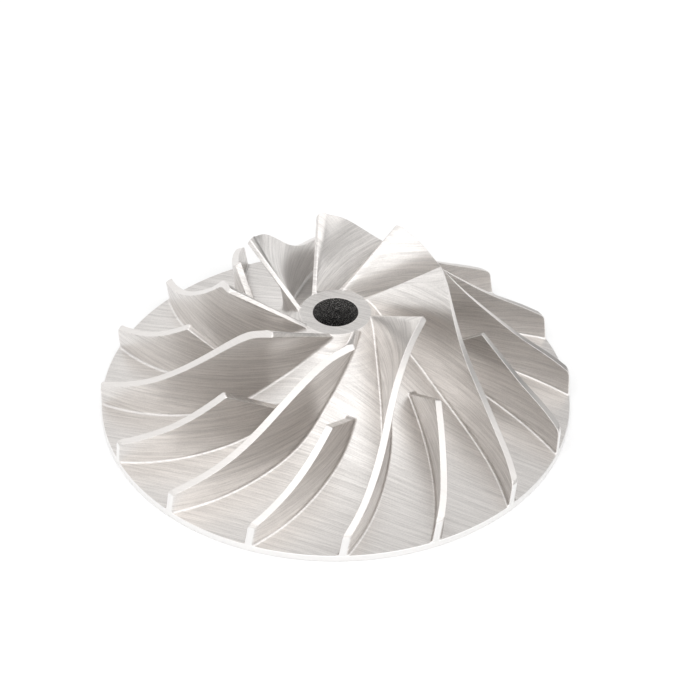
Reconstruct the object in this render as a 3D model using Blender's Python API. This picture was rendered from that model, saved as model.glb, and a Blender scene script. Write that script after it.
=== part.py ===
"""Open centrifugal pump impeller: a hub with a flat back disc, eight full blades and eight splitter blades.

Metres, +Z along the bore towards the suction side, origin at the middle of the flat back face.
A blade is ruled between a root line on the hub and a tip line on the surface that the blades' free edges
sweep. It is cut square at its leading edge and ends on the rim's cylinder.
"""

from math import pi, radians

import bmesh
import bpy
import numpy as np

OUTER_RADIUS = 0.100
NOSE_HEIGHT = 0.0494
NOSE_RADIUS = 0.0150
BORE_RADIUS = 0.0095

BLADE_PAIRS = 8
SEAM = 0.0003  # between a blade's root and the hub
EDGE_AT_ROOT = 0.0022  # a full blade's thickness where its leading edge meets the hub
EDGE_AT_TIP = 0.0027  # and at the leading edge's free end
BLADE_THICKNESS = 0.0030
THICKENING = 0.016  # length over which a full blade reaches its full thickness
EXTENSION = 0.006  # how far a line is carried on beyond its ends, before the blade is cut to length
FIRST_TRAILING_ANGLE = radians(-88.5)  # where the first full blade's root meets the rim

# Radius, height and wrap angle back from the trailing edge, along the root line of a full blade.
ROOT_LINE = (
    (0.0150, 0.0494, radians(81.5)),
    (0.0200, 0.0434, radians(59.4)),
    (0.0270, 0.0352, radians(43.7)),
    (0.0360, 0.0270, radians(33.3)),
    (0.0480, 0.0176, radians(24.7)),
    (0.0620, 0.0111, radians(16.6)),
    (0.0800, 0.0062, radians(8.3)),
    (0.1000, 0.0029, radians(0.0)),
)
# The same along its tip line, which stands free.
TIP_LINE = (
    (0.0448, 0.0668, radians(53.6)),
    (0.0452, 0.0660, radians(49.8)),
    (0.0464, 0.0639, radians(43.3)),
    (0.0490, 0.0582, radians(34.7)),
    (0.0574, 0.0449, radians(22.4)),
    (0.0693, 0.0328, radians(14.6)),
    (0.0814, 0.0235, radians(8.8)),
    (0.0919, 0.0179, radians(4.5)),
    (0.1000, 0.0136, radians(1.0)),
)
SPLITTER_ROOT_RADIUS = 0.0394
SPLITTER_TIP_RADIUS = 0.0620

HUB_SEGMENTS = 96
HUB_PROFILE_STEPS = 22
FULL_BLADE_STEPS = 30
SPLITTER_STEPS = 14
SPAN_STEPS = 3


def clear_scene():
    for obj in list(bpy.data.objects):
        bpy.data.objects.remove(obj, do_unlink=True)


class Rail:
    """A smooth line across a turned surface, through stations of radius, height and angle about the axis,
    and the edges that run beside it. Its measure is in metres from the first station."""

    def __init__(self, stations, start_radius, lead=0.0):
        self.stations = np.array(stations)
        radius, height, angle = self.stations.T
        points = np.stack([radius * np.cos(angle), radius * np.sin(angle), height], axis=1)
        step = np.linalg.norm(np.diff(points, axis=0), axis=1)
        self.marks = np.concatenate([[0.0], np.cumsum(step)])
        self.length = self.marks[-1]
        self.slopes = self.even_slopes(step[:, None])
        measure = np.linspace(-lead, self.length + EXTENSION, 3000)
        radii, heights, _ = self.at(measure).T
        self.surface = radii, heights
        self.start = np.interp(start_radius, radii, measure)

    def even_slopes(self, step):
        """Slopes at the stations for which the bending nowhere jumps, and is constant at both ends."""
        rise = np.diff(self.stations, axis=0) / step
        inner = (step[1:] * rise[:-1] + step[:-1] * rise[1:]) * 3
        wanted = np.concatenate([2 * rise[:1], inner, 2 * rise[-1:]])
        system = np.eye(len(wanted))
        system[0, 1] = system[-1, -2] = 1
        for i, (before, after) in enumerate(zip(step[:-1, 0], step[1:, 0])):
            system[i + 1, i : i + 3] = after, 2 * (before + after), before
        return np.linalg.solve(system, wanted)

    def at(self, measure):
        """Radius, height and angle there, also a little beyond the ends."""
        i = np.clip(np.searchsorted(self.marks, measure, side="right") - 1, 0, len(self.marks) - 2)
        step = (self.marks[i + 1] - self.marks[i])[..., None]
        t = (measure - self.marks[i])[..., None] / step
        held = self.stations[i] * (1 + 2 * t) * (1 - t) ** 2 + self.stations[i + 1] * t * t * (3 - 2 * t)
        return held + step * t * (1 - t) * (self.slopes[i] * (1 - t) - self.slopes[i + 1] * t)

    def beside(self, measure, offset):
        """The point on the surface that lies square to the line at this measure, this far from it."""
        d = 0.00001
        radius, _, angle = np.moveaxis(self.at(measure), -1, 0)
        pace = (self.at(measure + d) - self.at(measure - d)) / (2 * d)
        outwards, upwards, turning = np.moveaxis(pace, -1, 0)
        along, around = np.hypot(outwards, upwards), radius * turning
        total = np.hypot(along, around)
        moved = radius - offset * around / total * outwards / along
        turn = FIRST_TRAILING_ANGLE + angle + offset * along / (total * radius)
        height = np.interp(moved, *self.surface)
        return np.stack([moved * np.cos(turn), moved * np.sin(turn), height], axis=-1)

    def middle(self, chord):
        """Points of the line itself, from 0 at the blade's leading edge to 1 at the rim."""
        return self.beside(self.start + (self.length - self.start) * chord, 0.0)

    def edge(self, chord, offsets):
        """Points beside the line, at these distances from it and drawn out or in to end at the rim."""
        ends = self.length + np.linspace(-EXTENSION, EXTENSION, 400)
        beside_ends = self.beside(ends, offsets[-1])
        end = np.interp(OUTER_RADIUS, np.hypot(beside_ends[:, 0], beside_ends[:, 1]), ends)
        return self.beside(self.start + (end - self.start) * chord, offsets)


def hub_profile():
    """The hub's closed outline as (radius, height): down the flow side, across the back, up the bore."""
    radii = NOSE_RADIUS + (OUTER_RADIUS - NOSE_RADIUS) * np.linspace(0, 1, HUB_PROFILE_STEPS + 1) ** 1.5
    heights = np.interp(radii, *Rail(ROOT_LINE, NOSE_RADIUS).surface)
    flow_side = list(zip(radii, heights))
    return flow_side + [(OUTER_RADIUS, 0), (BORE_RADIUS, 0), (BORE_RADIUS, NOSE_HEIGHT)]


def material(name, colour, roughness, metallic):
    made = bpy.data.materials.new(name)
    made.use_nodes = True
    shader = made.node_tree.nodes["Principled BSDF"]
    shader.inputs["Base Color"].default_value = (*colour, 1)
    shader.inputs["Roughness"].default_value = roughness
    shader.inputs["Metallic"].default_value = metallic
    return made


def hub_material():
    return material("turned_aluminium", (0.80, 0.79, 0.77), 0.32, 1.0)


def full_blade_material():
    return material("milled_aluminium", (0.72, 0.71, 0.69), 0.38, 1.0)


def splitter_material():
    return material("milled_aluminium_splitter", (0.70, 0.69, 0.67), 0.38, 1.0)


def finished_mesh(name, bm, surface):
    bmesh.ops.recalc_face_normals(bm, faces=bm.faces)
    mesh = bpy.data.meshes.new(name)
    bm.to_mesh(mesh)
    bm.free()
    mesh.materials.append(surface)
    mesh.shade_smooth()
    mesh.set_sharp_from_angle(angle=radians(35))
    return mesh


def placed(name, mesh, turn=0.0):
    obj = bpy.data.objects.new(name, mesh)
    obj.rotation_euler.z = turn
    bpy.context.scene.collection.objects.link(obj)


def hub_mesh():
    bm = bmesh.new()
    outline = [bm.verts.new((radius, 0, height)) for radius, height in hub_profile()]
    edges = [bm.edges.new((a, b)) for a, b in zip(outline, outline[1:] + outline[:1])]
    bmesh.ops.spin(
        bm, geom=outline + edges, cent=(0, 0, 0), axis=(0, 0, 1), angle=2 * pi,
        steps=HUB_SEGMENTS, use_merge=True,
    )
    return finished_mesh("hub", bm, hub_material())


def half_widths(root, tip, chord, thickness):
    """Half a blade's width along the root surface and along the tip surface. Their lean is allowed for, so
    that the thickness is true when it is measured square to the blade."""
    d = 0.00001
    ruling = tip.middle(chord) - root.middle(chord)
    widths = []
    for rail, thick in zip((root, tip), thickness):
        normal = np.cross(rail.middle(chord + d) - rail.middle(chord - d), ruling)
        normal /= np.linalg.norm(normal, axis=1, keepdims=True)
        measure = rail.start + (rail.length - rail.start) * chord
        sideways = (rail.beside(measure, d) - rail.beside(measure, -d)) / (2 * d)
        widths.append(thick / 2 / np.abs((sideways * normal).sum(axis=1)))
    return widths


def over_the_seam(rail, points):
    """The points of a root raised off the hub, so that the seam is as wide where the hub is steep."""
    radius = np.hypot(points[:, 0], points[:, 1])
    d = 0.0005
    slope = (np.interp(radius + d, *rail.surface) - np.interp(radius - d, *rail.surface)) / (2 * d)
    return points + np.outer(SEAM * np.hypot(1, slope), (0, 0, 1))


def blade_mesh(name, root, tip, steps, edge_thickness, surface):
    """A ruled blade. It has one ring of points round its section for each step from its leading edge."""
    chord = np.linspace(0, 1, steps + 1) ** 1.3
    still_thin = 1 - np.clip(chord * (tip.length - tip.start) / THICKENING, 0, 1)
    thickness = [BLADE_THICKNESS - (BLADE_THICKNESS - thin) * still_thin**2 for thin in edge_thickness]
    root_half, tip_half = half_widths(root, tip, chord, thickness)
    shares = np.linspace(0, 1, SPAN_STEPS + 1)[:, None, None]
    walls = []
    for sign in (1, -1):
        foot = over_the_seam(root, root.edge(chord, sign * root_half))
        walls.append(foot + (tip.edge(chord, sign * tip_half) - foot) * shares)
    bm = bmesh.new()
    rings = []
    for outline in np.concatenate([walls[0], walls[1][::-1]]).transpose(1, 0, 2):
        rings.append([bm.verts.new(point) for point in outline])
    for ring, following in zip(rings, rings[1:]):
        for i in range(len(ring)):
            bm.faces.new((ring[i - 1], ring[i], following[i], following[i - 1]))
    for end in (rings[0], rings[-1]):
        for i in range(SPAN_STEPS):
            bm.faces.new((end[i], end[i + 1], end[-i - 2], end[-i - 1]))
    return finished_mesh(name, bm, surface)


def add_hub():
    placed("hub_disc", hub_mesh())


def add_full_blades():
    root = Rail(ROOT_LINE, ROOT_LINE[0][0])
    tip = Rail(TIP_LINE, TIP_LINE[0][0], lead=EXTENSION)
    edges = EDGE_AT_ROOT, EDGE_AT_TIP
    mesh = blade_mesh("full_blade", root, tip, FULL_BLADE_STEPS, edges, full_blade_material())
    for i in range(BLADE_PAIRS):
        placed(f"full_blade_{i + 1}", mesh, 2 * pi * i / BLADE_PAIRS)


def add_splitter_blades():
    root = Rail(ROOT_LINE, SPLITTER_ROOT_RADIUS)
    tip = Rail(TIP_LINE, SPLITTER_TIP_RADIUS)
    edges = BLADE_THICKNESS, BLADE_THICKNESS
    mesh = blade_mesh("splitter_blade", root, tip, SPLITTER_STEPS, edges, splitter_material())
    for i in range(BLADE_PAIRS):
        placed(f"splitter_blade_{i + 1}", mesh, 2 * pi * (i + 0.5) / BLADE_PAIRS)


clear_scene()
add_hub()
add_full_blades()
add_splitter_blades()
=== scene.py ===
"""Open centrifugal pump impeller: the turned hub, the milled blades and the studio that shows them.

Metres, +Z along the bore towards the suction side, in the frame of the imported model. The hub is turned
from one profile. A blade is ruled between a root line on the hub and a tip line on the surface that the
blades' free edges sweep. It is cut square at its leading edge and flush with the rim at its trailing edge,
and a rounded fillet runs along its root.
"""

from math import cos, pi, radians, sin

import bmesh
import bpy
import numpy as np
from mathutils import Euler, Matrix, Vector


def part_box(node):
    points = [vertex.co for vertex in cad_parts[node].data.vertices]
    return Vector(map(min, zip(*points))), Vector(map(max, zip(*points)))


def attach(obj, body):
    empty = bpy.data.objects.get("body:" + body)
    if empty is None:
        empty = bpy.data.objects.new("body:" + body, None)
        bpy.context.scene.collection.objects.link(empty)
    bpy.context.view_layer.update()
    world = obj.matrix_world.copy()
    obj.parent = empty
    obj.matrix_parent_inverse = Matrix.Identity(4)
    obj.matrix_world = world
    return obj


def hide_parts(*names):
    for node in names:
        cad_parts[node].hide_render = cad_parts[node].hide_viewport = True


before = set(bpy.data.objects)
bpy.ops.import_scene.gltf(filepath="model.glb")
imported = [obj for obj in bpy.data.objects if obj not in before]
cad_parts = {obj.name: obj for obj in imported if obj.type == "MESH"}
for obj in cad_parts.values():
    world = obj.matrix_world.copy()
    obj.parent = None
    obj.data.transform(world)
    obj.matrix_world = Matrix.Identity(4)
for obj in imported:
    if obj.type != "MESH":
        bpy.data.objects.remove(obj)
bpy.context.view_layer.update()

bl_info = {
    "name": "Open Pump Impeller",
    "version": (1, 0, 0),
    "blender": (4, 5, 0),
    "location": "View3D > Sidebar > Impeller",
    "description": "Turns the hub, mills the full and splitter blades and sets up the studio",
    "category": "Object",
}

OUTER_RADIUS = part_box("hub_disc")[1].x
NOSE_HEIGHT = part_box("hub_disc")[1].z

# Radius, height and wrap angle back from the rim, along the line where a full blade stands on the hub.
ROOT_LINE = (
    (0.0150, 0.0494, radians(81.5)),
    (0.0200, 0.0434, radians(59.4)),
    (0.0270, 0.0352, radians(43.7)),
    (0.0360, 0.0270, radians(33.3)),
    (0.0480, 0.0176, radians(24.7)),
    (0.0620, 0.0111, radians(16.6)),
    (0.0800, 0.0062, radians(8.3)),
    (0.1000, 0.0029, radians(0.0)),
)
# The same along the free tip of a full blade.
TIP_LINE = (
    (0.0448, 0.0668, radians(53.6)),
    (0.0452, 0.0660, radians(49.8)),
    (0.0464, 0.0639, radians(43.3)),
    (0.0490, 0.0582, radians(34.7)),
    (0.0574, 0.0449, radians(22.4)),
    (0.0693, 0.0328, radians(14.6)),
    (0.0814, 0.0235, radians(8.8)),
    (0.0919, 0.0179, radians(4.5)),
    (0.1000, 0.0136, radians(1.0)),
)
FIRST_TRAILING_ANGLE = radians(-88.5)  # where the first full blade's root meets the rim
THICKENING = 0.016  # length over which a blade grows from its leading edge to its full thickness

CORNER_STEPS = 5
FILLET_STEPS = 8
TIP_STEPS = 8
SPAN_STEPS = 12
FULL_BLADE_STEPS = 90
SPLITTER_STEPS = 56
HUB_FLOW_STEPS = 110
HUB_CROWDING = 1.5  # over 1, the steps down the hub stand closer together at the nose
NOSE_REACH = 6  # steps down the hub to the point that gives its slope at the nose
RIM_REACH = 3  # and steps back from the rim to the one that gives it there
LINE_SAMPLES = 3000
WIDTH_SAMPLES = 400
END_SAMPLES = 200
NEARBY = 0.00001  # a step along a line that is short enough to give its direction
NEARBY_CHORD = 0.001
NEVER_ZERO = 1e-12
SHARP_ANGLE = radians(40)
GUARD = 0.0001  # distance of the extra loops that keep flat faces flat beside a rounded edge
SMALLEST_CORNER = 0.00003
SUNK = 0.00002  # how far a fillet's thin edge dips into the hub
FOOT_DEPTH = 0.0003  # how far a blade's closed foot reaches into the hub
BLADE_SKIN = 0.00001  # a blade's trailing face stands this far inside the rim
EXTENSION = 0.006  # how far a blade's lines are carried on beyond their ends, before they are cut

TIP_ATTRIBUTE = "on_tip"  # 1 on a blade's tip flat, which is turned and so hardly streaked
TIP_TONE = 0.65  # the pattern's value that the tips are calmed towards
RIM_HIGHLIGHT_DEPTH = 0.0003  # the rim's painted highlight covers what lies no deeper than this inside its radius
BORE_SHADE_MARGIN = 0.00005  # the bore's painted shade covers what lies no further outside its radius
STREAK_LAYERS = ((0.4, 0.5), (1.0, 1.0), (2.5, 3.0))  # length and width of each, times the streak's own
MIDDLE_SHARE = 0.5  # of the middle streaks, against the finest
BROAD_SHARE = 0.4  # of the broad streaks, against the other two
STANDING_SHARE = 0.7  # length of the streaks on standing faces, against those on faces that look up
STREAK_DETAIL = 3.0
STREAK_MIXTURE = 0.6  # how much of the finer detail shows in a streak
NO_CHANGE = 1000.0  # a size in metres so large that a pattern doesn't change over the wheel
EVEN_FACING = 0.16  # a face that looks up and sideways alike, to within this, has both kinds of streaks
FACING_DOWN = -0.9  # a face whose normal points down by more than this is the turned back
STREAK_RANGE = (0.41, 0.59)  # noise at which the streaks are darkest and lightest
RELIEF_DEPTH = 0.00002
BORE_GRAINS = 2600.0  # to the metre
SPECK_RANGE = (0.52, 0.74)  # noise at which a speck begins and is brightest
BORE_ROUGHNESS = (0.9, 0.6)  # on the wall and on its specks
BORE_GLOSS = 0.2
BORE_DETAIL = 2.0
BORE_MIXTURE = 0.7  # how much of the finer detail shows in the grains
BORE_RELIEF = 0.4
BORE_RELIEF_DEPTH = 0.00005

FLOOR_HALF_WIDTH = 4.0
FLOOR_DROP = 0.00005  # below the wheel's back face
PAPER_ROUGHNESS = 0.9
KEY_PLACE = (-0.4, -1.6, 2.2)
KEY_AIM = (0.0, 0.0, 0.03)
KEY_SIZE = (2.4, 2.0)
SENSOR_WIDTH = 36.0  # millimetres
CLIP_RANGE = (0.05, 20.0)
AIM_UP = radians(0.889)  # how far the camera is turned up from the middle of the back face
AIM_RIGHT = radians(0.247)  # and to the right

# Soft patches of the white surround: azimuth to the right of the camera's side, elevation, inner and
# outer angle, how many times it is flattened towards the horizon, and the strength added in its middle.
SURROUND_PATCHES = (
    (radians(26), radians(45), radians(35), radians(80), 1.0, 0.42),
    (radians(115), radians(-8), radians(45), radians(68), 2.0, -0.72),
    (radians(156), radians(41), radians(15), radians(44), 1.0, -0.34),
)


def length(name, description, default):
    return bpy.props.FloatProperty(
        name=name, description=description, default=default, min=0.0, unit="LENGTH", precision=5
    )


def colour(name, description, default):
    return bpy.props.FloatVectorProperty(
        name=name, description=description, default=default, subtype="COLOR", size=3, min=0.0, max=1.0
    )


def share(name, description, default):
    return bpy.props.FloatProperty(
        name=name, description=description, default=default, min=0.0, max=1.0, subtype="FACTOR"
    )


def amount(name, description, default, **more):
    return bpy.props.FloatProperty(name=name, description=description, default=default, min=0.0, **more)


def angle(name, description, default):
    return bpy.props.FloatProperty(name=name, description=description, default=default, subtype="ANGLE")


def count(name, description, default):
    return bpy.props.IntProperty(name=name, description=description, default=default, min=2, max=512)


class ImpellerSizes(bpy.types.PropertyGroup):
    """The wheel's own measures."""

    bore_radius: length("Bore radius", "Radius of the shaft bore", 0.0095)
    nose_radius: length("Nose radius", "Outer radius of the flat ring on the nose", ROOT_LINE[0][0])
    blade_pairs: count("Blade pairs", "How many full blades, and as many splitters", 8)
    edge_at_root: length("Leading edge at root", "Blade thickness at the leading edge's foot", 0.0022)
    edge_at_tip: length("Leading edge at tip", "Blade thickness at the leading edge's free end", 0.0027)
    blade_thickness: length("Blade", "Blade thickness behind the leading edge", 0.0030)
    splitter_root: length("Splitter root", "Radius where a splitter's root begins", 0.0394)
    splitter_tip: length("Splitter tip", "Radius where a splitter's tip begins", 0.0620)
    fillet: length("Root fillet", "Size of the fillet along a blade's root", 0.0011)
    broken_edge: length("Broken edge", "Rounding of a blade's long edges", 0.0002)
    lead_rounding: length("Leading rounding", "Rounding of the two edges beside the leading face", 0.0005)
    trailing_rounding: length("Trailing rounding", "Rounding of the two edges that stand at the rim", 0.0009)
    lead_corner: length("Leading corner", "Rounding of a tip's leading end, seen from its side", 0.0007)
    trailing_corner: length("Trailing corner", "Rounding of a tip's trailing end, seen from its side", 0.0018)
    hub_edge: length("Hub edge", "Rounding of the hub's turned edges", 0.0002)
    hub_segments: count("Hub segments", "Steps round the hub", 256)


class ImpellerFinish(bpy.types.PropertyGroup):
    """The metal's colours and its brushing, with a painted highlight on the rim and painted shade in the
    bore.
    """

    hub_light: colour("Hub, light", "Colour of the hub's lighter streaks", (0.82, 0.791, 0.766))
    hub_dark: colour("Hub, dark", "Colour of the hub's darker streaks", (0.60, 0.579, 0.561))
    blade_light: colour("Blades, light", "Colour of the blades' lighter streaks", (0.82, 0.791, 0.766))
    blade_dark: colour("Blades, dark", "Colour of the blades' darker streaks", (0.60, 0.579, 0.561))
    # Painted highlight: the rim's faces are coloured brighter than the rest of the metal.
    rim_highlight_tint: colour("Rim highlight", "Brighter colour painted on the rim's faces as a highlight", (0.86, 0.85, 0.84))
    # Painted shade: the bore's wall is coloured near black in place of the shade inside the bore.
    bore_shade: colour("Bore, painted shade", "Dark colour painted on the bore's wall as shade", (0.030, 0.029, 0.028))
    bore_speck: colour("Bore specks", "Colour of the fine specks in the bore", (0.60, 0.58, 0.56))
    brushing: angle("Brushing", "Direction of the brushing, seen from above", radians(-22))
    streak_length: length("Streak length", "Typical length of a brushed streak", 0.022)
    streak_width: length("Streak width", "Typical width of a brushed streak", 0.00048)
    grain_size: length("Grain size", "Size of the metal's fine grain", 0.0006)
    grain: share("Grain", "Share of the grain in the pattern, beside the streaks", 0.12)
    smooth: share("Smooth streaks", "Roughness of the smoothest streaks", 0.30)
    dull: share("Dull streaks", "Roughness of the dullest streaks", 0.42)
    tip_calm: share("Calm tips", "How much weaker the streaks are on the blades' tips", 0.75)
    relief: share("Relief", "Strength of the brushed relief", 0.35)


class ImpellerStudio(bpy.types.PropertyGroup):
    """The light, the floor and the camera."""

    surround: amount("Surround", "Strength of the white surround", 1.12)
    key_power: amount("Key light", "Power of the large softbox over the camera", 3.0, unit="POWER")
    floor_tone: colour("Floor", "Colour of the floor", (0.88, 0.88, 0.88))
    camera_distance: length("Camera distance", "From the middle of the back face to the camera", 1.4311)
    camera_height: angle("Camera elevation", "Angle of the view above the floor", radians(40.335))
    focal_length: amount("Focal length", "Focal length of the camera, in millimetres", 171.85)


def add_node(tree, kind, inputs=None, **settings):
    """A new node of the tree. An input given as a socket is linked to it, and any other value is set."""
    made = tree.nodes.new(kind)
    for name, value in settings.items():
        setattr(made, name, value)
    for key, value in (inputs or {}).items():
        if isinstance(value, bpy.types.NodeSocket):
            tree.links.new(value, made.inputs[key])
        else:
            made.inputs[key].default_value = value
    return made


def maths(tree, operation, *values):
    return add_node(tree, "ShaderNodeMath", dict(enumerate(values)), operation=operation).outputs[0]


def vector_maths(tree, operation, *values):
    """The vector that the node works out, or the number where the operation gives one."""
    made = add_node(tree, "ShaderNodeVectorMath", dict(enumerate(values)), operation=operation)
    return made.outputs["Value" if operation in {"LENGTH", "DOT_PRODUCT"} else "Vector"]


def distance_from_axis(tree, place):
    return vector_maths(tree, "LENGTH", vector_maths(tree, "MULTIPLY", place, (1, 1, 0)))


# Shapes


class Line:
    """A smooth line across a turned surface, through stations of radius, height and angle about the axis.
    Its measure runs in metres from the first station, along the straight lines between the stations."""

    def __init__(self, stations):
        self.stations = np.array(stations)
        radius, height, wrap = self.stations.T
        points = np.stack([radius * np.cos(wrap), radius * np.sin(wrap), height], axis=1)
        step = np.linalg.norm(np.diff(points, axis=0), axis=1)
        self.marks = np.concatenate([[0.0], np.cumsum(step)])
        self.length = self.marks[-1]
        self.slopes = self.even_slopes(step[:, None])

    def even_slopes(self, step):
        """Slopes at the stations for which the bending nowhere jumps, and is constant at both ends."""
        rise = np.diff(self.stations, axis=0) / step
        inner = (step[1:] * rise[:-1] + step[:-1] * rise[1:]) * 3
        wanted = np.concatenate([2 * rise[:1], inner, 2 * rise[-1:]])
        system = np.eye(len(wanted))
        system[0, 1] = system[-1, -2] = 1
        for i, (before, after) in enumerate(zip(step[:-1, 0], step[1:, 0])):
            system[i + 1, i : i + 3] = after, 2 * (before + after), before
        return np.linalg.solve(system, wanted)

    def at(self, measure):
        """Radius, height and angle there, also a little beyond the ends."""
        i = np.clip(np.searchsorted(self.marks, measure, side="right") - 1, 0, len(self.marks) - 2)
        step = (self.marks[i + 1] - self.marks[i])[..., None]
        t = (measure - self.marks[i])[..., None] / step
        held = self.stations[i] * (1 + 2 * t) * (1 - t) ** 2 + self.stations[i + 1] * t * t * (3 - 2 * t)
        return held + step * t * (1 - t) * (self.slopes[i] * (1 - t) - self.slopes[i + 1] * t)

    def samples(self, lead=0.0, beyond=0.0):
        """Measures, and the radii, heights and angles there, from ahead of the line to beyond it."""
        measure = np.linspace(-lead, self.length + beyond, LINE_SAMPLES)
        return measure, self.at(measure).T


def in_space(radius, height, wrap):
    turn = FIRST_TRAILING_ANGLE + wrap
    return np.stack([radius * np.cos(turn), radius * np.sin(turn), height], axis=-1)


def quarter_turn(steps):
    return np.linspace(0, pi / 2, steps + 1)


class Rail:
    """One line of a blade with the two edges that run beside it, on the surface that the line sweeps."""

    def __init__(self, stations, start_radius, lead):
        self.line = Line(stations)
        measure, (radii, heights, _) = self.line.samples(lead, EXTENSION)
        self.surface = radii, heights
        self.start = np.interp(start_radius, radii, measure)
        self.half_width = lambda chord: 0.0 * chord  # none, until the blade sets it

    def beside(self, measure, offset):
        """The point on the surface that lies square to the line at this measure, this far from it."""
        radius, _, wrap = np.moveaxis(self.line.at(measure), -1, 0)
        change = (self.line.at(measure + NEARBY) - self.line.at(measure - NEARBY)) / (2 * NEARBY)
        outwards, upwards, turning = np.moveaxis(change, -1, 0)
        along, around = np.hypot(outwards, upwards), radius * turning
        pace = np.hypot(along, around)
        moved = radius - offset * around / pace * outwards / along
        return in_space(moved, np.interp(moved, *self.surface), wrap + offset * along / (pace * radius))

    def edge(self, chord, sign, extra):
        """Points of one edge, which ends at the rim."""
        ends = self.line.length + np.linspace(-EXTENSION, EXTENSION, END_SAMPLES)
        last = self.beside(ends, sign * (self.half_width(1.0) + extra))
        end = np.interp(OUTER_RADIUS - BLADE_SKIN, np.hypot(last[:, 0], last[:, 1]), ends)
        return self.beside(self.start + (end - self.start) * chord, sign * (self.half_width(chord) + extra))

    def middle(self, chord):
        return self.beside(self.start + (self.line.length - self.start) * chord, 0.0 * chord)

    def point(self, chord, side, extra=0.0):
        """Points between the two edges, widened by extra: side is -1 on one edge and 1 on the other."""
        near, far = self.edge(chord, 1, extra), self.edge(chord, -1, extra)
        return far + (near - far) * ((1 + side) / 2)[..., None]


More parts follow.
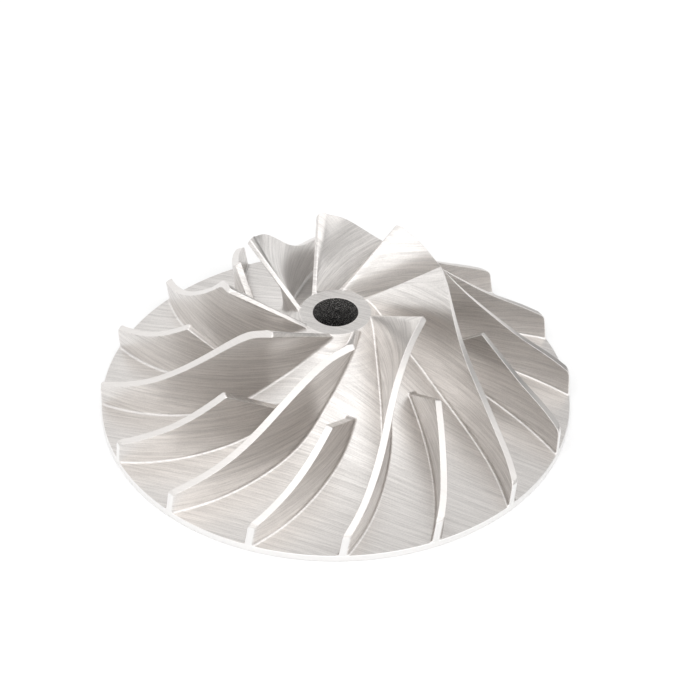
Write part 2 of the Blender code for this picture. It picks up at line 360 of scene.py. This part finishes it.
class Blade:
    """One blade's ruled body. chord runs from 0 at the leading edge to 1 at the rim, span from the root
    line to the tip line, and side from -1 to 1 across the thickness."""

    def __init__(self, sizes, root_start, tip_start, chord_steps, round_front):
        self.sizes = sizes
        self.chord_steps = chord_steps
        self.round_front = round_front  # fully thick at its leading edge, with the fillet round it
        self.root = Rail(ROOT_LINE, root_start, 0.0)
        self.tip = Rail(TIP_LINE, tip_start, EXTENSION)
        self.set_widths()

    def set_widths(self):
        """Widths along the root and tip surfaces that leave the thickness true, square to the blade."""
        chord = np.linspace(0, 1, WIDTH_SAMPLES)
        d = NEARBY
        rails = ((self.root, 0.0), (self.tip, 1.0))
        ruling = self.tip.middle(chord) - self.root.middle(chord)
        widths = []
        for rail, span in rails:
            along = rail.middle(chord + d) - rail.middle(chord - d)
            normal = np.cross(along, ruling)
            normal /= np.linalg.norm(normal, axis=-1, keepdims=True)
            measure = rail.start + (rail.line.length - rail.start) * chord
            sideways = (rail.beside(measure, d) - rail.beside(measure, -d)) / (2 * d)
            widths.append(self.half_thickness(chord, span) / np.abs((sideways * normal).sum(axis=-1)))
        for (rail, _), width in zip(rails, widths):
            rail.half_width = lambda at, width=width: np.interp(at, chord, width)

    def half_thickness(self, chord, span):
        sizes = self.sizes
        thin = sizes.edge_at_root + (sizes.edge_at_tip - sizes.edge_at_root) * span
        if self.round_front:
            thin = sizes.blade_thickness
        grown = np.clip(chord * (self.tip.line.length - self.tip.start) / THICKENING, 0, 1)
        return (sizes.blade_thickness - (sizes.blade_thickness - thin) * (1 - grown) ** 2) / 2

    def middle(self, chord, span):
        root = self.root.middle(chord)
        return root + (self.tip.middle(chord) - root) * span[..., None]

    def pace(self, chord, span):
        """Metres that the middle surface covers for each unit of chord."""
        d = NEARBY_CHORD
        return np.linalg.norm(self.middle(chord + d, span) - self.middle(chord - d, span), axis=-1) / (2 * d)

    def height(self, chord):
        """Length of the ruling from root to tip."""
        return np.linalg.norm(self.tip.middle(chord) - self.root.middle(chord), axis=-1)

    def point(self, chord, span, side):
        root = self.root.point(chord, side)
        return root + (self.tip.point(chord, side) - root) * span[..., None]

    def outline(self, span_at, inset=0.0, cut_in=(0.0, 0.0)):
        """Half an outline from the leading face to the trailing face, as chord, span and side. cut_in is
        how far the rounded corners of the tip draw its two ends in."""
        ends = np.array([0.0, 1.0])
        pace = self.pace(ends, span_at(ends))
        bend = quarter_turn(CORNER_STEPS)
        reaches, depths = [], []
        for radius, cut in zip((self.sizes.lead_rounding, self.sizes.trailing_rounding), cut_in):
            corner = max(radius - inset, SMALLEST_CORNER)
            reaches.append(cut + inset + np.concatenate([[0], corner * (1 - np.cos(bend)), [corner + GUARD]]))
            depths.append(np.concatenate([[corner + GUARD], corner * (1 - np.sin(bend)), [0]]))
        lead, trail = reaches[0] / pace[0], 1 - reaches[1] / pace[1]
        between = np.linspace(lead[-1], trail[-1], self.chord_steps + 1)[1:-1]
        chord = np.concatenate([lead, between, trail[::-1]])
        depth = np.concatenate([depths[0], 0 * between, depths[1][::-1]])
        span = span_at(chord)
        half = self.half_thickness(chord, span)
        return chord, span, np.clip((half - inset - depth) / half, 0, 1)

    def fillet_rings(self):
        """Rings of points from the foot inside the hub, over the fillet's hollow, to the blade's side."""
        reach = self.sizes.fillet
        chord, foot, side = self.outline(lambda at: 0 * at)
        ahead = 0 * chord
        if self.round_front:
            front = np.concatenate([[1.0], np.cos(quarter_turn(CORNER_STEPS))])
            ahead[: len(front)] = reach * front / self.pace(chord[:1], foot[:1])
        above = reach / self.height(chord)
        rings = []
        for sign in (1, -1):
            outer = self.root.point(chord - ahead, sign * side, reach)
            corner = self.point(chord, foot, sign * side)
            upper = self.point(chord, above, sign * side)
            up, out = upper - corner, outer - corner
            lengths = np.linalg.norm(up, axis=-1) * np.linalg.norm(out, axis=-1)
            opening = np.arccos(np.clip((up * out).sum(axis=-1) / np.maximum(lengths, NEVER_ZERO), -1, 1))
            weight = np.sin(opening / 2)[:, None]
            levels = [outer - (0, 0, FOOT_DEPTH), outer - (0, 0, SUNK)]
            for t in np.linspace(0, 1, FILLET_STEPS + 1)[1:]:
                a, b, c = (1 - t) ** 2, 2 * t * (1 - t) * weight, t * t
                levels.append((a * outer + b * corner + c * upper) / (a + b + c))
            rings.append(levels)
        return list(zip(*rings))

    def side_rings(self):
        """Rings of points up the two sides, from just over the fillet to just under the tip's rounding."""
        low = self.sizes.fillet + GUARD
        high = self.sizes.trailing_corner + GUARD
        rings = []
        for share_up in np.linspace(0, 1, SPAN_STEPS + 1):
            def span_at(chord, share_up=share_up):
                tall = self.height(chord)
                return (low + (tall - high - low) * share_up) / tall
            chord, span, side = self.outline(span_at)
            rings.append((self.point(chord, span, side), self.point(chord, span, -side)))
        return rings

    def tip_rings(self):
        """Rings of points over the tip's rounded edges and corners, and onto its flat."""
        edge = self.sizes.broken_edge
        corners = self.sizes.lead_corner, self.sizes.trailing_corner
        bends = [edge * (1 - np.sin(quarter_turn(CORNER_STEPS)))]
        bends += [corner * (1 - np.sin(quarter_turn(TIP_STEPS))) for corner in corners]
        gaps = sorted(set(np.round(np.concatenate(bends), 7)), reverse=True)
        rings = []
        for gap, onto_flat in [(gap, 0.0) for gap in gaps] + [(0.0, GUARD / 2)]:
            def span_at(chord, gap=gap):
                return 1 - gap / self.height(chord)
            inset = rounding_depth(edge, gap) + onto_flat
            cut_in = [max(rounding_depth(corner, gap) - inset, 0) + onto_flat for corner in corners]
            chord, span, side = self.outline(span_at, inset, cut_in)
            rings.append((self.point(chord, span, side), self.point(chord, span, -side)))
        return rings

    def mesh(self, name):
        """The closed body: rings joined into a wall, with a foot and a tip."""
        rings = self.fillet_rings() + self.side_rings() + self.tip_rings()
        bm = bmesh.new()
        on_tip = bm.verts.layers.float.new(TIP_ATTRIBUTE)
        loops = []
        for near, far in rings:
            loops.append([bm.verts.new(point) for point in np.concatenate([near, far[::-1]])])
        for vert in loops[-1]:
            vert[on_tip] = 1.0
        for lower, upper in zip(loops, loops[1:]):
            for i in range(len(lower)):
                bm.faces.new((lower[i - 1], lower[i], upper[i], upper[i - 1]))
        for end in (loops[0], loops[-1]):
            for i in range(len(end) // 2 - 1):
                bm.faces.new((end[i], end[i + 1], end[-i - 2], end[-i - 1]))
        bmesh.ops.recalc_face_normals(bm, faces=bm.faces)
        mesh = bpy.data.meshes.new(name)
        bm.to_mesh(mesh)
        bm.free()
        return mesh


def rounding_depth(radius, gap):
    """How far a rounded edge of this radius has drawn in at this distance below its top."""
    return radius - np.sqrt(max(radius**2 - max(radius - gap, 0) ** 2, 0))


def rounded_corner(before, corner, after, size, steps=CORNER_STEPS):
    """Points round a corner of the hub's profile, starting and ending at this distance from it."""
    a = corner + (before - corner) * (size / np.linalg.norm(before - corner))
    b = corner + (after - corner) * (size / np.linalg.norm(after - corner))
    opening = np.arccos(np.dot(a - corner, b - corner) / size**2)
    weight = np.sin(opening / 2)
    points = []
    for t in np.linspace(0, 1, steps + 1):
        p, q, r = (1 - t) ** 2, 2 * t * (1 - t) * weight, t * t
        points.append((p * a + q * corner + r * b) / (p + q + r))
    return points


def hub_profile(sizes):
    """The hub's closed outline as (radius, height), from the bore's mouth over the flow side and back."""
    steps = np.linspace(0, 1, HUB_FLOW_STEPS + 1) ** HUB_CROWDING
    radii = sizes.nose_radius + (OUTER_RADIUS - sizes.nose_radius) * steps
    _, (line_radii, line_heights, _) = Line(ROOT_LINE).samples()
    flow = np.stack([radii, np.interp(radii, line_radii, line_heights)], axis=1)
    corners = [
        np.array([sizes.bore_radius, NOSE_HEIGHT]),
        flow[0],
        flow[-1],
        np.array([OUTER_RADIUS, 0]),
        np.array([sizes.bore_radius, 0]),
    ]
    edge = sizes.hub_edge
    around = [
        (corners[4], corners[0], corners[1]),
        (corners[0], corners[1], flow[NOSE_REACH]),
        (flow[-1 - RIM_REACH], corners[2], corners[3]),
        (corners[2], corners[3], corners[4]),
        (corners[3], corners[4], corners[0]),
    ]
    clear = (radii > radii[0] + edge + GUARD) & (radii < radii[-1] - edge - GUARD)
    profile = []
    for i, three in enumerate(around):
        outer = rounded_corner(*three, edge + GUARD, 1)
        profile += [outer[0], *rounded_corner(*three, edge), outer[-1]]
        if i == 1:  # from the nose's outer corner the flow side runs on to the rim
            profile.extend(flow[clear])
    return profile


# Geometry Nodes


def new_tree(name, inputs):
    """An empty modifier tree with a geometry input and output, and the named inputs."""
    tree = bpy.data.node_groups.new(name, "GeometryNodeTree")
    tree.is_modifier = True
    tree.interface.new_socket("Geometry", in_out="INPUT", socket_type="NodeSocketGeometry")
    for label, kind in inputs:
        tree.interface.new_socket(label, in_out="INPUT", socket_type="NodeSocket" + kind)
    tree.interface.new_socket("Geometry", in_out="OUTPUT", socket_type="NodeSocketGeometry")
    return tree, tree.nodes.new("NodeGroupInput"), tree.nodes.new("NodeGroupOutput")


def turning_tree():
    """Turns a closed profile about the wheel's axis. Its x runs outwards from the bore, its y downwards."""
    tree, given, result = new_tree(
        "Turned body",
        (("Segments", "Int"), ("Bore Radius", "Float"), ("Metal", "Material"), ("Bore Shade", "Material")),
    )
    outline = add_node(tree, "GeometryNodeMeshToCurve", {"Mesh": given.outputs["Geometry"]})
    lathe = add_node(
        tree, "GeometryNodeCurvePrimitiveCircle",
        {"Resolution": given.outputs["Segments"], "Radius": given.outputs["Bore Radius"]},
    )
    upright = add_node(tree, "GeometryNodeSetCurveNormal", {"Curve": lathe.outputs["Curve"]}, mode="Z_UP")
    body = add_node(
        tree, "GeometryNodeCurveToMesh",
        {"Curve": upright.outputs["Curve"], "Profile Curve": outline.outputs["Curve"]},
    )
    metal = add_node(
        tree, "GeometryNodeSetMaterial",
        {"Geometry": body.outputs["Mesh"], "Material": given.outputs["Metal"]},
    )
    place = add_node(tree, "GeometryNodeInputPosition").outputs["Position"]
    # The faces at the bore get the painted shade material, a dark wall in place of the bore's shade.
    wall = maths(tree, "ADD", given.outputs["Bore Radius"], BORE_SHADE_MARGIN)
    inside = add_node(
        tree, "FunctionNodeCompare", {"A": distance_from_axis(tree, place), "B": wall}, operation="LESS_THAN"
    )
    real = add_node(tree, "GeometryNodeRealizeInstances", {"Geometry": metal.outputs["Geometry"]})
    dark = add_node(
        tree, "GeometryNodeSetMaterial",
        {
            "Geometry": real.outputs["Geometry"],
            "Selection": inside.outputs["Result"],
            "Material": given.outputs["Bore Shade"],
        },
    )
    tree.links.new(dark.outputs["Geometry"], result.inputs["Geometry"])
    return tree


def blade_row_tree():
    """Sets copies of one blade round the wheel's axis at equal angles."""
    tree, given, result = new_tree(
        "Blade row", (("Blades", "Int"), ("First Turn", "Float"), ("Metal", "Material"))
    )
    places = add_node(tree, "GeometryNodePoints", {"Count": given.outputs["Blades"]})
    number = add_node(tree, "GeometryNodeInputIndex").outputs["Index"]
    pitch = maths(tree, "DIVIDE", 2 * pi, given.outputs["Blades"])
    turn = maths(tree, "MULTIPLY_ADD", number, pitch, given.outputs["First Turn"])
    about_axis = add_node(tree, "ShaderNodeCombineXYZ", {"Z": turn})
    rotation = add_node(tree, "FunctionNodeEulerToRotation", {"Euler": about_axis.outputs["Vector"]})
    row = add_node(
        tree, "GeometryNodeInstanceOnPoints",
        {
            "Points": places.outputs["Points"],
            "Instance": given.outputs["Geometry"],
            "Rotation": rotation.outputs["Rotation"],
        },
    )
    real = add_node(tree, "GeometryNodeRealizeInstances", {"Geometry": row.outputs["Instances"]})
    metal = add_node(
        tree, "GeometryNodeSetMaterial",
        {"Geometry": real.outputs["Geometry"], "Material": given.outputs["Metal"]},
    )
    tree.links.new(metal.outputs["Geometry"], result.inputs["Geometry"])
    return tree


def made_by(tree, name, mesh, values):
    """The plain mesh that the tree makes of this mesh, as a new object at the origin."""
    source = bpy.data.objects.new(name + "_source", mesh)
    bpy.context.scene.collection.objects.link(source)
    modifier = source.modifiers.new(tree.name, "NODES")
    modifier.node_group = tree
    for item in tree.interface.items_tree:
        if item.in_out == "INPUT" and item.name in values:
            modifier[item.identifier] = values[item.name]
    bpy.context.view_layer.update()
    result = source.evaluated_get(bpy.context.evaluated_depsgraph_get())
    finished = bpy.data.meshes.new_from_object(result, depsgraph=bpy.context.evaluated_depsgraph_get())
    bpy.data.objects.remove(source, do_unlink=True)
    finished.name = name
    bm = bmesh.new()
    bm.from_mesh(finished)
    bmesh.ops.recalc_face_normals(bm, faces=bm.faces)
    bm.to_mesh(finished)
    bm.free()
    finished.shade_smooth()
    finished.set_sharp_from_angle(angle=SHARP_ANGLE)
    piece = bpy.data.objects.new(name, finished)
    bpy.context.scene.collection.objects.link(piece)
    return piece


# Finishes


def ranged(tree, value, start, end, to_start=0.0, to_end=1.0, interpolation="LINEAR"):
    """The value, stretched so that start becomes to_start and end becomes to_end, and held between them."""
    limits = {"From Min": start, "From Max": end, "To Min": to_start, "To Max": to_end}
    made = add_node(
        tree, "ShaderNodeMapRange", {"Value": value, **limits}, interpolation_type=interpolation
    )
    return made.outputs["Result"]


def mixed(tree, share_of_second, first, second):
    values = {"Factor": share_of_second, "A": first, "B": second}
    return add_node(tree, "ShaderNodeMix", values, data_type="FLOAT").outputs["Result"]


def mixed_colour(tree, share_of_second, first, second):
    """As mixed, for colours. Their sockets go by number, because several have the same name."""
    values = {"Factor": share_of_second, 6: first, 7: second}
    return add_node(tree, "ShaderNodeMix", values, data_type="RGBA").outputs[2]


def noise(tree, place, scale, detail, **more):
    values = {"Vector": place, "Scale": scale, "Detail": detail, **more}
    return add_node(tree, "ShaderNodeTexNoise", values).outputs["Fac"]


def drawn_noise(tree, place, size, turn=0.0):
    """Noise drawn out to this size along the three axes, and turned in the plan."""
    drawn = add_node(
        tree, "ShaderNodeMapping",
        {"Vector": place, "Rotation": (0, 0, turn), "Scale": size}, vector_type="TEXTURE",
    )
    return noise(tree, drawn.outputs["Vector"], 1.0, STREAK_DETAIL, Roughness=STREAK_MIXTURE)


def turning_rings(tree, reach, finish):
    """Noise in rings about the axis, as a lathe's tool leaves them."""
    rings = maths(tree, "DIVIDE", reach, finish.streak_width)
    values = {"W": rings, "Scale": 1.0, "Detail": 2.0}
    return add_node(tree, "ShaderNodeTexNoise", values, noise_dimensions="1D").outputs["Fac"]


def look_up_share(tree, facing):
    """1 where a face looks up or down, and 0 where it stands."""
    sideways, endways, upright = [maths(tree, "ABSOLUTE", facing[axis]) for axis in "XYZ"]
    upness = maths(tree, "SUBTRACT", upright, maths(tree, "MAXIMUM", sideways, endways))
    return ranged(tree, upness, -EVEN_FACING, EVEN_FACING, interpolation="SMOOTHSTEP")


def streak_layers(tree, place, looks_up, finish):
    """Streaks of three sizes, the finest first: one way over faces that look up, level along the others."""
    layers = []
    for longer, wider in STREAK_LAYERS:
        long, wide = longer * finish.streak_length, wider * finish.streak_width
        flat = drawn_noise(tree, place, (long, wide, NO_CHANGE), finish.brushing)
        short = STANDING_SHARE * long
        standing = drawn_noise(tree, place, (short, short, wide))
        layers.append(mixed(tree, looks_up, standing, flat))
    return layers


def brushed_metal(name, light, dark, finish):
    """Brushed aluminium: streaks run one way across the faces that look up, level along standing ones and
    in rings on the back. The faces at the rim are coloured brighter, a painted highlight."""
    metal = bpy.data.materials.new(name)
    metal.use_nodes = True
    tree = metal.node_tree
    shader = tree.nodes["Principled BSDF"]
    shader.inputs["Metallic"].default_value = 1.0
    coordinates = add_node(tree, "ShaderNodeTexCoord")
    place = coordinates.outputs["Object"]
    facing = add_node(tree, "ShaderNodeSeparateXYZ", {"Vector": coordinates.outputs["Normal"]}).outputs
    fine, middle, broad = streak_layers(tree, place, look_up_share(tree, facing), finish)
    brushed = mixed(tree, BROAD_SHARE, mixed(tree, MIDDLE_SHARE, fine, middle), broad)
    grained = mixed(tree, finish.grain, brushed, noise(tree, place, 1 / finish.grain_size, 1.0))
    reach = distance_from_axis(tree, place)
    under = maths(tree, "LESS_THAN", facing["Z"], FACING_DOWN)
    pattern = mixed(tree, under, grained, turning_rings(tree, reach, finish))
    strong = ranged(tree, pattern, *STREAK_RANGE)
    on_tip = add_node(tree, "ShaderNodeAttribute", attribute_name=TIP_ATTRIBUTE).outputs["Fac"]
    tone = mixed(tree, maths(tree, "MULTIPLY", on_tip, finish.tip_calm), strong, TIP_TONE)
    tint = mixed_colour(tree, tone, (*dark, 1), (*light, 1))
    # Painted highlight: the faces at the rim get a brighter colour than the metal.
    rim_highlight_share = ranged(tree, reach, OUTER_RADIUS - RIM_HIGHLIGHT_DEPTH, OUTER_RADIUS - RIM_HIGHLIGHT_DEPTH / 2)
    turned = mixed_colour(tree, rim_highlight_share, tint, (*finish.rim_highlight_tint, 1))
    rough = ranged(tree, tone, 0.0, 1.0, finish.dull, finish.smooth)
    relief = add_node(
        tree, "ShaderNodeBump", {"Strength": finish.relief, "Distance": RELIEF_DEPTH, "Height": middle}
    )
    tree.links.new(turned, shader.inputs["Base Color"])
    tree.links.new(rough, shader.inputs["Roughness"])
    tree.links.new(relief.outputs["Normal"], shader.inputs["Normal"])
    return metal


def paint_bore_shade(finish):
    """The bore's wall, coloured near black as painted shade, with fine bright specks."""
    wall = bpy.data.materials.new("bore_painted_shade")
    wall.use_nodes = True
    tree = wall.node_tree
    shader = tree.nodes["Principled BSDF"]
    shader.inputs["Metallic"].default_value = 0.0
    shader.inputs["Specular IOR Level"].default_value = BORE_GLOSS
    place = add_node(tree, "ShaderNodeTexCoord").outputs["Object"]
    grain = noise(tree, place, BORE_GRAINS, BORE_DETAIL, Roughness=BORE_MIXTURE)
    specks = ranged(tree, grain, *SPECK_RANGE)
    tint = mixed_colour(tree, specks, (*finish.bore_shade, 1), (*finish.bore_speck, 1))
    rough = ranged(tree, grain, 0.0, 1.0, *BORE_ROUGHNESS)
    relief = add_node(
        tree, "ShaderNodeBump", {"Strength": BORE_RELIEF, "Distance": BORE_RELIEF_DEPTH, "Height": grain}
    )
    tree.links.new(tint, shader.inputs["Base Color"])
    tree.links.new(rough, shader.inputs["Roughness"])
    tree.links.new(relief.outputs["Normal"], shader.inputs["Normal"])
    return wall


def nodes_named(start):
    return [name for name in sorted(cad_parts) if name.startswith(start)]


def dress(piece, nodes):
    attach(piece, "root")
    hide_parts(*nodes)


# Operators


class IMPELLER_OT_turn_hub(bpy.types.Operator):
    """Turn the hub with its nose ring, its bore and its back disc"""

    bl_idname = "impeller.turn_hub"
    bl_label = "Turn the hub"

    def execute(self, context):
        sizes, finish = context.scene.impeller_sizes, context.scene.impeller_finish
        outline = hub_profile(sizes)
        mesh = bpy.data.meshes.new("hub_outline")
        points = [(radius - sizes.bore_radius, -height, 0) for radius, height in outline]
        edges = [(i, (i + 1) % len(points)) for i in range(len(points))]
        mesh.from_pydata(points, edges, [])
        values = {
            "Segments": sizes.hub_segments,
            "Bore Radius": sizes.bore_radius,
            "Metal": brushed_metal("turned_aluminium", finish.hub_light, finish.hub_dark, finish),
            "Bore Shade": paint_bore_shade(finish),
        }
        piece = made_by(turning_tree(), "turned_hub", mesh, values)
        dress(piece, ["hub_disc"])
        return {"FINISHED"}


class IMPELLER_OT_mill_full_blades(bpy.types.Operator):
    """Mill the full blades, from the nose ring to the rim"""

    bl_idname = "impeller.mill_full_blades"
    bl_label = "Mill the full blades"

    def execute(self, context):
        sizes, finish = context.scene.impeller_sizes, context.scene.impeller_finish
        starts = ROOT_LINE[0][0], TIP_LINE[0][0]
        blade = Blade(sizes, *starts, FULL_BLADE_STEPS, round_front=False)
        tones = finish.blade_light, finish.blade_dark
        values = {
            "Blades": sizes.blade_pairs,
            "First Turn": 0.0,
            "Metal": brushed_metal("milled_aluminium", *tones, finish),
        }
        piece = made_by(blade_row_tree(), "full_blades", blade.mesh("full_blade"), values)
        dress(piece, nodes_named("full_blade_"))
        return {"FINISHED"}


class IMPELLER_OT_mill_splitter_blades(bpy.types.Operator):
    """Mill the short splitter blades between the full ones"""

    bl_idname = "impeller.mill_splitter_blades"
    bl_label = "Mill the splitter blades"

    def execute(self, context):
        sizes, finish = context.scene.impeller_sizes, context.scene.impeller_finish
        starts = sizes.splitter_root, sizes.splitter_tip
        blade = Blade(sizes, *starts, SPLITTER_STEPS, round_front=True)
        tones = finish.blade_light, finish.blade_dark
        values = {
            "Blades": sizes.blade_pairs,
            "First Turn": pi / sizes.blade_pairs,
            "Metal": brushed_metal("milled_aluminium_splitter", *tones, finish),
        }
        piece = made_by(blade_row_tree(), "splitter_blades", blade.mesh("splitter_blade"), values)
        dress(piece, nodes_named("splitter_blade_"))
        return {"FINISHED"}


class IMPELLER_OT_set_stage(bpy.types.Operator):
    """Lay the pale floor, hang the soft lights and place the camera"""

    bl_idname = "impeller.set_stage"
    bl_label = "Set the stage"

    def execute(self, context):
        studio = context.scene.impeller_studio
        lay_floor(studio)
        hang_lights(studio)
        place_camera(studio)
        return {"FINISHED"}


def lay_floor(studio):
    mesh = bpy.data.meshes.new("studio_floor")
    bm = bmesh.new()
    bmesh.ops.create_grid(bm, x_segments=2, y_segments=2, size=FLOOR_HALF_WIDTH)
    bmesh.ops.translate(bm, verts=bm.verts, vec=(0, 0, -FLOOR_DROP))
    bm.to_mesh(mesh)
    bm.free()
    paper = bpy.data.materials.new("pale_paper")
    paper.use_nodes = True
    shader = paper.node_tree.nodes["Principled BSDF"]
    shader.inputs["Base Color"].default_value = (*studio.floor_tone, 1)
    shader.inputs["Roughness"].default_value = PAPER_ROUGHNESS
    shader.inputs["Specular IOR Level"].default_value = 0.0
    mesh.materials.append(paper)
    floor = bpy.data.objects.new("studio_floor", mesh)
    bpy.context.scene.collection.objects.link(floor)


def softbox(name, place, aim, size, power):
    lamp = bpy.data.lights.new(name, "AREA")
    lamp.shape = "RECTANGLE"
    lamp.size, lamp.size_y = size
    lamp.energy = power
    box = bpy.data.objects.new(name, lamp)
    box.location = place
    box.rotation_mode = "QUATERNION"
    box.rotation_quaternion = (Vector(aim) - Vector(place)).to_track_quat("-Z", "Y")
    bpy.context.scene.collection.objects.link(box)


def direction(azimuth, elevation):
    """Unit vector at this angle to the right of the camera's side and above the floor."""
    return Vector((sin(azimuth) * cos(elevation), -cos(azimuth) * cos(elevation), sin(elevation)))


def white_surround(studio):
    """A white room that is brighter on the camera's side and dimmer at the right and at the back."""
    world = bpy.data.worlds.new("white_surround")
    world.use_nodes = True
    tree = world.node_tree
    background = tree.nodes["Background"]
    background.inputs["Color"].default_value = (1, 1, 1, 1)
    towards = add_node(tree, "ShaderNodeTexCoord").outputs["Generated"]
    strength = studio.surround
    for azimuth, elevation, inner, outer, flattened, added in SURROUND_PATCHES:
        raised = vector_maths(tree, "MULTIPLY", towards, (1, 1, flattened))
        unit = vector_maths(tree, "NORMALIZE", raised)
        nearness = vector_maths(tree, "DOT_PRODUCT", unit, direction(azimuth, elevation))
        patch = ranged(tree, nearness, cos(outer), cos(inner), 0.0, added, "SMOOTHSTEP")
        strength = maths(tree, "ADD", strength, patch)
    tree.links.new(strength, background.inputs["Strength"])
    bpy.context.scene.world = world


def hang_lights(studio):
    scene = bpy.context.scene
    white_surround(studio)
    softbox("key_softbox", KEY_PLACE, KEY_AIM, KEY_SIZE, studio.key_power)
    scene.view_settings.view_transform = "Standard"
    scene.view_settings.look = "None"


def place_camera(studio):
    lens = bpy.data.cameras.new("product_camera")
    lens.sensor_width = SENSOR_WIDTH
    lens.lens = studio.focal_length
    lens.clip_start, lens.clip_end = CLIP_RANGE
    camera = bpy.data.objects.new("product_camera", lens)
    away = studio.camera_distance
    camera.location = (0, -away * cos(studio.camera_height), away * sin(studio.camera_height))
    camera.rotation_mode = "QUATERNION"
    level = Euler((pi / 2 - studio.camera_height, 0, 0)).to_quaternion()
    camera.rotation_quaternion = level @ Euler((AIM_UP, -AIM_RIGHT, 0)).to_quaternion()
    bpy.context.scene.collection.objects.link(camera)
    bpy.context.scene.camera = camera


class IMPELLER_PT_panel(bpy.types.Panel):
    """The impeller's tools, sizes and finishes"""

    bl_idname = "IMPELLER_PT_panel"
    bl_label = "Impeller"
    bl_space_type = "VIEW_3D"
    bl_region_type = "UI"
    bl_category = "Impeller"

    def draw(self, context):
        for operator in OPERATORS:
            self.layout.operator(operator.bl_idname)
        for name in GROUPS:
            box = self.layout.box()
            group = getattr(context.scene, name)
            for prop in group.bl_rna.properties:
                if prop.identifier not in {"rna_type", "name"}:
                    box.prop(group, prop.identifier)


GROUPS = {
    "impeller_sizes": ImpellerSizes,
    "impeller_finish": ImpellerFinish,
    "impeller_studio": ImpellerStudio,
}
OPERATORS = (
    IMPELLER_OT_turn_hub,
    IMPELLER_OT_mill_full_blades,
    IMPELLER_OT_mill_splitter_blades,
    IMPELLER_OT_set_stage,
)


def register():
    for group in (*GROUPS.values(), *OPERATORS, IMPELLER_PT_panel):
        bpy.utils.register_class(group)
    for name, group in GROUPS.items():
        setattr(bpy.types.Scene, name, bpy.props.PointerProperty(type=group))


def unregister():
    for name in GROUPS:
        delattr(bpy.types.Scene, name)
    for group in reversed((*GROUPS.values(), *OPERATORS, IMPELLER_PT_panel)):
        bpy.utils.unregister_class(group)


def main():
    register()
    bpy.ops.impeller.turn_hub()
    bpy.ops.impeller.mill_full_blades()
    bpy.ops.impeller.mill_splitter_blades()
    bpy.ops.impeller.set_stage()


if __name__ == "__main__":
    main()
